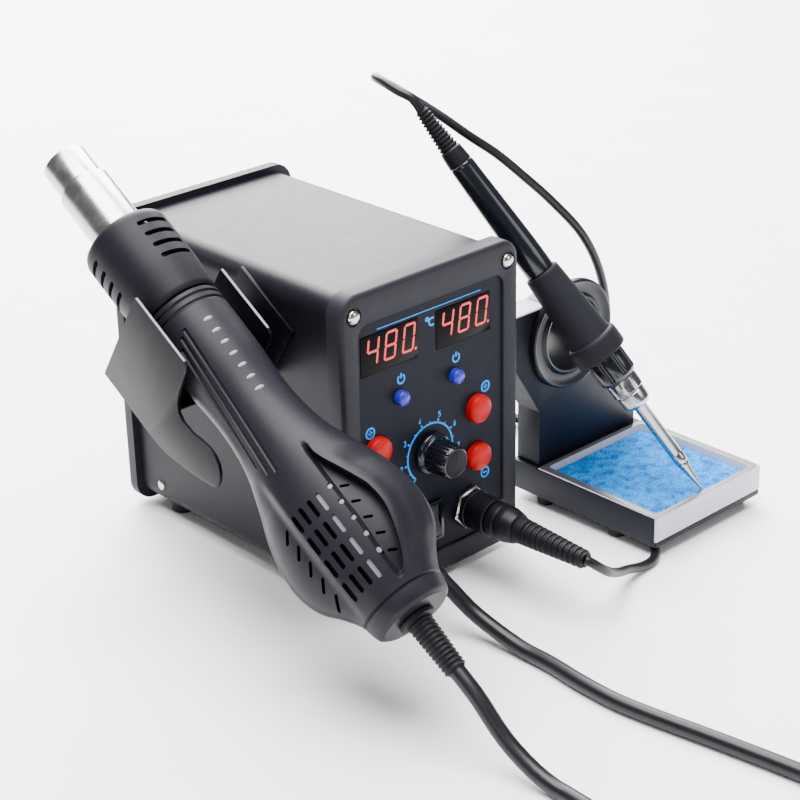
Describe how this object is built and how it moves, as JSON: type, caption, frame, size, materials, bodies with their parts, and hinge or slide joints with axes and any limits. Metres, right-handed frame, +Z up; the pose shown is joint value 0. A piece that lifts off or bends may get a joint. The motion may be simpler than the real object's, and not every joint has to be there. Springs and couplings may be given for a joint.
{
  "type": "hot air rework station",
  "caption": "Two-in-one rework station: box control unit, hot air gun in a side cradle, soldering iron on a sponge stand, with their cords.",
  "frame": {"origin": "middle of the footprint of everything but the cords and the plug on them, at the bench top", "axes": "+Z up, -Y the way the control panel faces, +X towards the iron stand"},
  "size_m": [0.2898, 0.5253, 0.2197],
  "materials": {
    "case_paint": "matte charcoal powder coat",
    "bezel_paint": "matte charcoal moulded plastic",
    "panel_paint": "matte slate panel with cyan print",
    "display_window": "dark red glossy window with red digits",
    "circuit_board": "green solder mask",
    "transformer_core": "laminated core",
    "black_plastic": "fine moulded texture",
    "gloss_plastic": "glossy black",
    "black_rubber": "matte black",
    "grip_rubber": "matte dark grey silicone",
    "cord_rubber": "satin black jacket",
    "red_button_rubber": "satin red silicone",
    "blue_button_rubber": "satin blue silicone",
    "bright_metal": "bright nickel plate",
    "brushed_tube": "turned and brushed",
    "iron_steel": "polished",
    "guard_plastic": "fine grained heat resistant plastic",
    "handle_plastic": "fine grained plastic",
    "heater_ceramic": "unglazed",
    "cradle_paint": "satin black powder coat with bare cut edges",
    "stand_paint": "matte charcoal powder coat",
    "funnel_plastic": "satin black",
    "tray_paint": "silver white enamel",
    "sponge_cellulose": "blue cellulose sponge"
  },
  "bodies": {
    "station": {"airflow_potentiometer": "bright_metal", "case_shell": "case_paint", "cleaning_sponge": "sponge_cellulose", "control_board": "circuit_board", "display_left": "display_window", "display_right": "display_window", "front_bezel": "bezel_paint", "front_panel": "panel_paint", "front_screw_bottom_left": "bright_metal", "front_screw_bottom_right": "bright_metal", "front_screw_top_left": "bright_metal", "front_screw_top_right": "bright_metal", "gun_cord_coil": "cord_rubber", "gun_cord_gland": "black_rubber", "gun_cord_lead": "cord_rubber", "gun_cord_return": "cord_rubber", "gun_cradle": "cradle_paint", "holder_funnel": "funnel_plastic", "iron_cord_coil": "cord_rubber", "iron_cord_plug_lead": "cord_rubber", "iron_cord_rise": "cord_rubber", "iron_socket": "bright_metal", "iron_socket_nut": "bright_metal", "mains_inlet": "black_plastic", "power_board": "circuit_board", "power_switch_housing": "black_plastic", "rear_bezel": "bezel_paint", "sponge_tray": "tray_paint", "stand_base": "stand_paint", "stand_upright": "stand_paint", "transformer": "transformer_core", "unit_foot_front_left": "black_rubber", "unit_foot_front_right": "black_rubber", "unit_foot_rear_left": "black_rubber", "unit_foot_rear_right": "black_rubber"},
    "hot_air_gun": {"nozzle_tube": "brushed_tube", "heat_guard": "guard_plastic", "heater_core": "heater_ceramic", "handle_shell_left": "handle_plastic", "handle_shell_right": "handle_plastic", "gun_boot": "black_rubber"},
    "fan": {"fan_impeller": "black_plastic"},
    "soldering_iron": {"iron_tip": "iron_steel", "iron_barrel": "iron_steel", "iron_nut": "iron_steel", "iron_nipple": "gloss_plastic", "iron_grip": "grip_rubber", "iron_handle": "gloss_plastic", "iron_boot": "black_rubber"},
    "iron_plug": {"iron_plug_shell": "black_plastic", "iron_plug_boot": "black_rubber"},
    "plug_ring": {"iron_plug_ring": "black_plastic"},
    "knob": {"airflow_knob": "black_plastic"},
    "rocker": {"power_switch_rocker": "black_plastic"},
    "red_button_left_plus_body": {"red_button_left_plus": "red_button_rubber"},
    "red_button_left_minus_body": {"red_button_left_minus": "red_button_rubber"},
    "red_button_right_plus_body": {"red_button_right_plus": "red_button_rubber"},
    "red_button_right_minus_body": {"red_button_right_minus": "red_button_rubber"},
    "blue_button_left_body": {"blue_button_left": "blue_button_rubber"},
    "blue_button_right_body": {"blue_button_right": "blue_button_rubber"}
  },
  "joints": [
    {"name": "gun_lift_out", "type": "slide", "parent": "station", "child": "hot_air_gun", "axis": [0, -0.5344, 0.8453], "range_m": [0, 0.06]},
    {"name": "fan_spin", "type": "hinge", "parent": "hot_air_gun", "child": "fan", "pos_m": [-0.11465, -0.07781, 0.0741], "axis": [-0.6561, -0.4033, 0.6379], "continuous": true},
    {"name": "iron_lift_out", "type": "slide", "parent": "station", "child": "soldering_iron", "axis": [0.3979, -0.6857, 0.6095], "range_m": [0, 0.05]},
    {"name": "plug_pull_out", "type": "slide", "parent": "station", "child": "iron_plug", "axis": [0, -1, 0], "range_m": [0, 0.03], "deforming": ["iron_cord_plug_lead"]},
    {"name": "plug_ring_turn", "type": "hinge", "parent": "iron_plug", "child": "plug_ring", "pos_m": [-0.00225, -0.0328, 0.0314], "axis": [0, -1, 0], "range_deg": [0, 360]},
    {"name": "airflow_knob_turn", "type": "hinge", "parent": "station", "child": "knob", "pos_m": [-0.02645, -0.0328, 0.0686], "axis": [0, 1, 0], "range_deg": [-140, 140]},
    {"name": "power_rocker", "type": "hinge", "parent": "station", "child": "rocker", "pos_m": [-0.02725, -0.0313, 0.0323], "axis": [1, 0, 0], "range_deg": [0, 20]},
    {"name": "red_button_left_plus_press", "type": "slide", "parent": "station", "child": "red_button_left_plus_body", "axis": [0, 1, 0], "range_m": [0, 0.001], "stiffness_N_per_m": 400},
    {"name": "red_button_left_minus_press", "type": "slide", "parent": "station", "child": "red_button_left_minus_body", "axis": [0, 1, 0], "range_m": [0, 0.001], "stiffness_N_per_m": 400},
    {"name": "red_button_right_plus_press", "type": "slide", "parent": "station", "child": "red_button_right_plus_body", "axis": [0, 1, 0], "range_m": [0, 0.001], "stiffness_N_per_m": 400},
    {"name": "red_button_right_minus_press", "type": "slide", "parent": "station", "child": "red_button_right_minus_body", "axis": [0, 1, 0], "range_m": [0, 0.001], "stiffness_N_per_m": 400},
    {"name": "blue_button_left_press", "type": "slide", "parent": "station", "child": "blue_button_left_body", "axis": [0, 1, 0], "range_m": [0, 0.001], "stiffness_N_per_m": 400},
    {"name": "blue_button_right_press", "type": "slide", "parent": "station", "child": "blue_button_right_body", "axis": [0, 1, 0], "range_m": [0, 0.001], "stiffness_N_per_m": 400}
  ]
}
